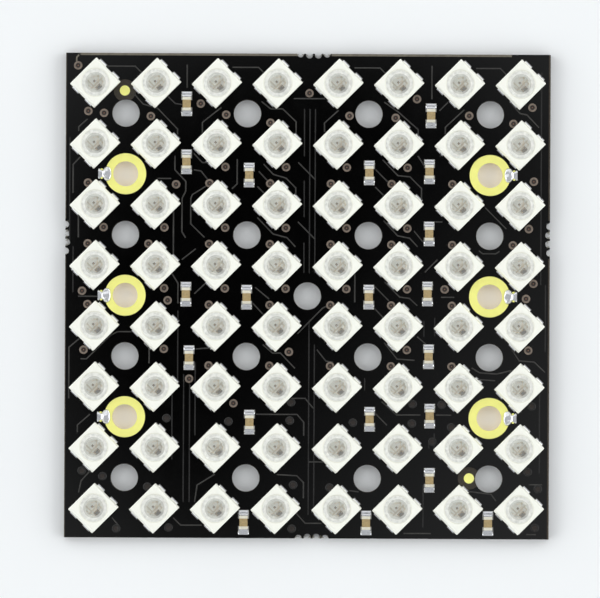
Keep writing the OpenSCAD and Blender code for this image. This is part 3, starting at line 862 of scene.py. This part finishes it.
# Tracks under the mask, each through [column, row] of the LED grid
TRACKS = [
    [(0.18, -0.27), (0.65, -0.27), (0.80, -0.12)], [(2.25, -0.26), (2.68, -0.26), (2.80, -0.14)],
    [(4.26, -0.26), (4.68, -0.26), (4.80, -0.14)], [(6.26, -0.26), (6.66, -0.26), (6.78, -0.14)],
    [(0.63, 0.18), (0.78, 0.35), (1.02, 0.42), (1.35, 0.76), (1.35, 0.85)],
    [(2.73, 0.30), (2.88, 0.42), (3.08, 0.42), (3.30, 0.63), (3.30, 0.82)],
    [(4.75, 0.30), (4.98, 0.46), (5.31, 0.75), (5.31, 0.88)],
    [(6.83, 0.30), (6.99, 0.48), (7.10, 0.50), (7.30, 0.71)], [(2.07, 0.40), (1.76, 0.65), (1.76, 0.83)],
    [(4.00, 0.44), (3.77, 0.65), (3.77, 0.80)], [(6.07, 0.42), (5.76, 0.71), (5.76, 0.83)],
    [(1.165, 0.20), (1.31, 0.34), (1.45, 0.36)], [(1.505, -0.30), (1.505, 0.08)],
    [(5.535, -0.30), (5.535, 0.25)], [(5.66, 0.44), (5.80, 0.30)], [(3.26, 0.25), (3.78, 0.25)],
    [(-0.365, 1.82), (-0.365, 1.35), (-0.24, 1.22)], [(-0.275, 0.80), (-0.275, 0.73), (-0.13, 0.60)],
    [(1.31, 1.20), (1.31, 1.43), (1.49, 1.62), (1.49, 1.78), (1.43, 1.90), (1.43, 2.45), (1.49, 2.55)],
    [(1.62, 1.16), (1.76, 1.31), (1.95, 1.31)], [(1.62, 1.43), (1.74, 1.45), (1.86, 1.60)],
    [(1.82, 1.70), (1.60, 1.84), (1.575, 1.90), (1.575, 2.32), (1.80, 2.54)],
    [(2.335, 1.25), (2.335, 1.66), (2.25, 1.74)], [(2.69, 1.45), (2.85, 1.62)],
    [(2.67, 1.70), (2.79, 1.82)], [(2.77, 1.33), (2.93, 1.50), (3.14, 1.56), (3.30, 1.72), (3.30, 1.84)],
    [(3.34, 1.30), (3.62, 1.58)], [(2.67, 2.21), (2.93, 2.48), (3.16, 2.54), (3.30, 2.69)],
    [(3.34, 2.28), (3.62, 2.56)], [(1.29, 2.07), (1.29, 2.81)], [(1.43, 2.91), (1.66, 2.73)],
    [(1.64, 3.47), (1.82, 3.30)], [(2.64, 3.36), (2.87, 3.55)], [(-0.275, 3.52), (0.10, 3.52)],
    [(1.02, 1.575), (1.25, 1.575)], [(-0.275, 2.07), (-0.275, 2.55)],
    [(1.27, 3.14), (1.37, 3.30), (1.37, 3.63)],
    [(4.73, 1.25), (4.98, 1.51), (5.18, 1.53), (5.37, 1.72), (5.37, 1.95)], [(4.61, 1.41), (4.82, 1.62)],
    [(4.61, 1.70), (4.75, 1.84)], [(5.31, 1.185), (5.43, 1.37)],
    [(4.75, 2.25), (4.98, 2.50), (5.18, 2.54), (5.31, 2.68)], [(5.25, 2.42), (5.40, 2.60)],
    [(5.60, 2.27), (5.72, 2.27)], [(5.43, 3.10), (5.64, 2.89)], [(6.42, 2.03), (6.77, 2.38)],
    [(6.32, 2.74), (6.38, 2.79), (6.60, 2.79), (6.66, 2.75)], [(4.28, 3.14), (4.28, 3.60)],
    [(4.61, 3.34), (4.84, 3.57)], [(4.77, 3.26), (5.02, 3.51), (5.18, 3.53), (5.31, 3.65)],
    [(5.70, 3.51), (5.92, 3.51)],
    [(-0.23, 4.55), (-0.13, 4.55), (0.26, 4.16), (0.38, 4.10), (0.61, 4.10)],
    [(-0.42, 5.20), (-0.42, 4.36), (-0.23, 4.20)], [(0.79, 4.22), (0.90, 4.36), (0.90, 4.62)],
    [(1.66, 4.38), (1.92, 4.36)], [(2.77, 4.30), (2.93, 4.44), (3.06, 4.44), (3.30, 4.69)],
    [(2.60, 3.62), (2.77, 3.80)], [(3.34, 4.12), (3.75, 3.70), (3.90, 3.62)],
    [(-0.275, 5.76), (-0.275, 5.64), (-0.07, 5.46)], [(3.24, 5.185), (3.47, 5.185), (3.61, 5.35)],
    [(2.66, 5.45), (3.34, 5.45), (3.45, 5.58), (3.45, 5.80)],
    [(-0.07, 6.40), (-0.21, 6.56), (-0.25, 6.75)],
    [(3.01, 6.44), (3.34, 6.46), (3.45, 6.57), (3.45, 6.83)], [(1.99, 6.44), (1.70, 6.62), (1.66, 6.90)],
    [(0.30, 7.16), (0.40, 7.28), (0.40, 7.38)], [(1.31, 7.16), (1.43, 7.28), (1.78, 7.28)],
    [(3.30, 7.04), (3.48, 7.24), (3.75, 7.24)], [(3.54, 6.23), (3.78, 6.23)],
    [(4.59, 3.68), (4.75, 3.85)], [(4.77, 4.26), (4.98, 4.53), (5.27, 4.55)],
    [(3.66, 4.38), (3.81, 4.57), (3.93, 4.59)], [(5.31, 4.16), (5.45, 4.28)],
    [(6.21, 4.67), (6.34, 4.75), (6.62, 4.77), (6.87, 4.71)], [(6.29, 4.86), (6.60, 4.88)],
    [(6.87, 4.36), (6.99, 4.55), (7.24, 4.57), (7.42, 4.74)], [(4.73, 5.23), (4.98, 5.45), (5.37, 5.45)],
    [(5.62, 5.45), (5.88, 5.45)], [(4.63, 5.43), (4.82, 5.62)], [(4.20, 6.70), (4.36, 6.72)],
    [(6.13, 6.70), (6.54, 6.75), (6.62, 6.86)], [(7.16, 6.59), (7.38, 6.59)],
    [(5.10, 7.40), (5.55, 7.40)], [(7.12, 7.41), (7.28, 7.41)],
]
TRACK_WIDTH = 0.19
TRACK_HEIGHT = 0.014

# Long tracks that run down between the columns, each as its column and the rows that it runs between
BUS_TRACKS = [
    (3.44, 0.42, 1.20), (3.53, 0.42, 3.12), (3.62, 0.42, 3.12), (3.44, 1.60, 2.20), (3.53, 3.90, 7.10),
    (3.62, 4.30, 7.10), (3.44, 2.62, 3.12), (1.37, 3.75, 4.90), (1.47, 4.80, 6.90), (1.57, 4.95, 6.90),
    (1.66, 4.60, 5.80), (1.28, 4.90, 6.20), (5.42, 3.90, 4.16), (5.60, 3.85, 4.15), (5.51, 5.90, 6.00),
    (5.60, 5.75, 6.00), (5.42, 6.60, 7.30), (7.34, -0.20, 3.30), (7.42, 3.30, 4.40),
    (7.33, 5.00, 6.40), (-0.42, 0.90, 2.60), (-0.36, 2.70, 3.45), (4.45, 4.85, 5.05),
    (5.68, 0.90, 1.20),
]
BUS_WIDTH = 0.15
BUS_HEIGHT = 0.01


def place_tracks(name, routes, width, height, finish):
    shape = Shape()
    for route in routes:
        shape.add(strip([at(column, row) for column, row in route], width, height))
    make_piece(name, shape, [stand((0, 0))], [finish], sharp=60)


bus_routes = [[(column, first), (column, last)] for column, first, last in BUS_TRACKS]
place_tracks("mask_over_tracks", TRACKS, TRACK_WIDTH, TRACK_HEIGHT, TRACK)
place_tracks("mask_over_long_tracks", bus_routes, BUS_WIDTH, BUS_HEIGHT, FAINT_TRACK)

# Border copper along the board's upper edge, whose light brown tone is partly a painted highlight, and the
# bare strip that the mask leaves at its sides
BORDER_WIDTH = 0.32
BORDER_INSET = 0.18
upper = HALF_BOARD - BORDER_INSET
BORDER_HEIGHT = 0.012
BORDER_RUNS = ((-33.4, -1.6), (3.4, 29.8))
border = Shape()
for start, end in BORDER_RUNS:
    border.add(strip([Vector((start, upper)), Vector((end, upper))], BORDER_WIDTH, BORDER_HEIGHT))
corner = [Vector((-33.6, upper - 0.1)), Vector((-33.95, upper - 0.5)), Vector((-33.95, upper - 1.1))]
border.add(strip(corner, 0.22, BORDER_HEIGHT))
make_piece("mask_over_border", border, [stand((0, 0))], [BORDER_PAINTED_HIGHLIGHT], sharp=60)

# Each strip's name, side and width. Both stop at the broken tab, between its low and high end.
SIDE_STRIPS = (("right", 1, 0.24), ("left", -1, 0.13))
TAB_LOW = 5.6
TAB_HIGH = 11.2
for name, side, width in SIDE_STRIPS:
    shape = Shape()
    x = side * (HALF_BOARD - width / 2)
    for low, high in ((-HALF_BOARD, TAB_LOW), (TAB_HIGH, HALF_BOARD)):
        shape.add(strip([Vector((x, low)), Vector((x, high))], width, 0.006))
    make_piece(f"bare_strip_{name}", shape, [stand((0, 0))], [BARE_EDGE], sharp=60)

# Torn fibres where the board was broken from its panel
BITE_PITCH = 1.3
BITE_COUNT = 4
TAB_SHIFT_X = 0.8
TAB_SHIFT_Y = 8.4
FIBRE_COUNT = 150


def torn_fibres(seed):
    """A fringe of short glass fibres along the broken edge of one tab, which faces +y."""
    chance = random.Random(seed)
    shape = Shape()
    for _ in range(FIBRE_COUNT):
        tooth = chance.randrange(BITE_COUNT + 1) - BITE_COUNT / 2
        x = tooth * BITE_PITCH + chance.gauss(0, 0.13)
        root = Vector((x, HALF_BOARD - chance.uniform(0.25, 0.6), chance.uniform(-1.4, -0.03)))
        lean = chance.gauss(0, 0.5)
        length = chance.uniform(0.15, 0.6)
        tip = root + Vector((math.sin(lean), math.cos(lean), chance.uniform(-0.2, 0.3))) * length
        tip.y = min(tip.y, HALF_BOARD - 0.03)
        tip.z = min(tip.z, 0.02)
        bend = (root + tip) / 2 + Vector((chance.gauss(0, 0.04), 0, chance.gauss(0, 0.03)))
        shape.add(wire([root, bend, tip], chance.uniform(0.012, 0.03), 4))
    return shape


# Turn of each edge's tab from the upper edge, and its shift along the edge
TAB_PLACES = ((0, TAB_SHIFT_X), (180, -TAB_SHIFT_X), (90, TAB_SHIFT_Y), (-90, -TAB_SHIFT_Y))
for index, (turn, shift) in enumerate(TAB_PLACES):
    place = Matrix.Rotation(math.radians(turn), 4, "Z") @ Matrix.Translation((shift, 0, BOARD_TOP))
    make_piece(f"torn_fibres_{index + 1}", torn_fibres(index), [place], [TORN_LAMINATE])


# ---- Floor, lamps and camera ----

# The sheet's half width and its gap below the board, both in metres
FLOOR_HALF = 3.0
FLOOR_GAP = 0.00002
SHEET = (0.90, 0.915, 0.92)


def floor():
    """The pale sheet that the board lies on."""
    half = FLOOR_HALF
    corners = [(-half, -half, 0), (half, -half, 0), (half, half, 0), (-half, half, 0)]
    mesh = bpy.data.meshes.new("floor")
    mesh.from_pydata(corners, [], [(0, 1, 2, 3)])
    material, shader = new_finish("pale_sheet", SHEET, 0.85, 0.0, 0.2)
    mottle(material, shader, SHEET, 40, 0.01)
    mesh.materials.append(material)
    sheet = bpy.data.objects.new("floor", mesh)
    sheet.location.z = -FLOOR_GAP
    bpy.context.scene.collection.objects.link(sheet)


def lamp(name, place, size, power, color):
    """An oblong area lamp that points at the middle of the board."""
    data = bpy.data.lights.new(name, "AREA")
    data.shape = "RECTANGLE"
    data.size, data.size_y = size
    data.energy = power
    data.color = color
    made = bpy.data.objects.new(name, data)
    made.location = place
    made.rotation_mode = "QUATERNION"
    made.rotation_quaternion = (-Vector(place)).to_track_quat("-Z", "Y")
    bpy.context.scene.collection.objects.link(made)


CEILING = (0.50, 0.51, 0.52)
SIDE_WALLS = (2.05, 2.08, 2.10)
LENS_DARK = (0.012, 0.012, 0.012)


def sky():
    """The studio: bright sheets low on the left and right, grey all round, and the dark camera above."""
    world = bpy.data.worlds.new("studio")
    bpy.context.scene.world = world
    world.use_nodes = True
    tree = world.node_tree
    coordinates = tree.nodes.new("ShaderNodeTexCoord")
    split = tree.nodes.new("ShaderNodeSeparateXYZ")
    tree.links.new(coordinates.outputs["Generated"], split.inputs["Vector"])

    def value(operation, *inputs):
        made = tree.nodes.new("ShaderNodeMath")
        made.operation = operation
        for socket, source in zip(made.inputs, inputs):
            if isinstance(source, (int, float)):
                socket.default_value = source
            else:
                tree.links.new(source, socket)
        return made.outputs[0]

    def smooth(source, low, high):
        made = tree.nodes.new("ShaderNodeMapRange")
        made.interpolation_type = "SMOOTHSTEP"
        made.inputs["From Min"].default_value = low
        made.inputs["From Max"].default_value = high
        tree.links.new(source, made.inputs["Value"])
        return made.outputs["Result"]

    def blend(factor, one, other):
        made = tree.nodes.new("ShaderNodeMix")
        made.data_type = "RGBA"
        tree.links.new(factor, made.inputs["Factor"])
        for socket, source in ((made.inputs[6], one), (made.inputs[7], other)):
            if isinstance(source, tuple):
                socket.default_value = (*source, 1)
            else:
                tree.links.new(source, socket)
        return made.outputs[2]

    x, y, _ = split.outputs
    room = blend(smooth(value("ABSOLUTE", x), 0.50, 0.72), CEILING, SIDE_WALLS)
    from_lens = value("SQRT", value("ADD", value("POWER", x, 2.0), value("POWER", y, 2.0)))
    aside = value("SUBTRACT", value("MULTIPLY", x, 0.75), value("MULTIPLY", y, 0.55))
    clear = value("MAXIMUM", smooth(from_lens, 0.022, 0.05), smooth(aside, -0.005, 0.045))
    color = blend(clear, LENS_DARK, room)
    tree.links.new(color, tree.nodes["Background"].inputs["Color"])


VIEW_WIDTH = 87.79
CAMERA_HEIGHT = 1200
SENSOR = 36
CAMERA_AIM = (-1.074, -0.431)
CAMERA_ROLL = 0.274


def camera():
    data = bpy.data.cameras.new("camera")
    data.sensor_width = SENSOR
    data.lens = SENSOR * (CAMERA_HEIGHT - box_mm("led_housings_row_1")[1].z) / VIEW_WIDTH
    data.clip_start = 0.05
    made = bpy.data.objects.new("camera", data)
    made.location = (CAMERA_AIM[0] * MM, CAMERA_AIM[1] * MM, CAMERA_HEIGHT * MM)
    made.rotation_euler = (0, 0, math.radians(CAMERA_ROLL))
    bpy.context.scene.collection.objects.link(made)
    bpy.context.scene.camera = made


floor()
lamp("key", (-0.12, 0.66, 0.92), (1.2, 0.9), 1.8, (1.0, 1.0, 1.0))
sky()
camera()
bpy.context.scene.view_settings.view_transform = "Standard"
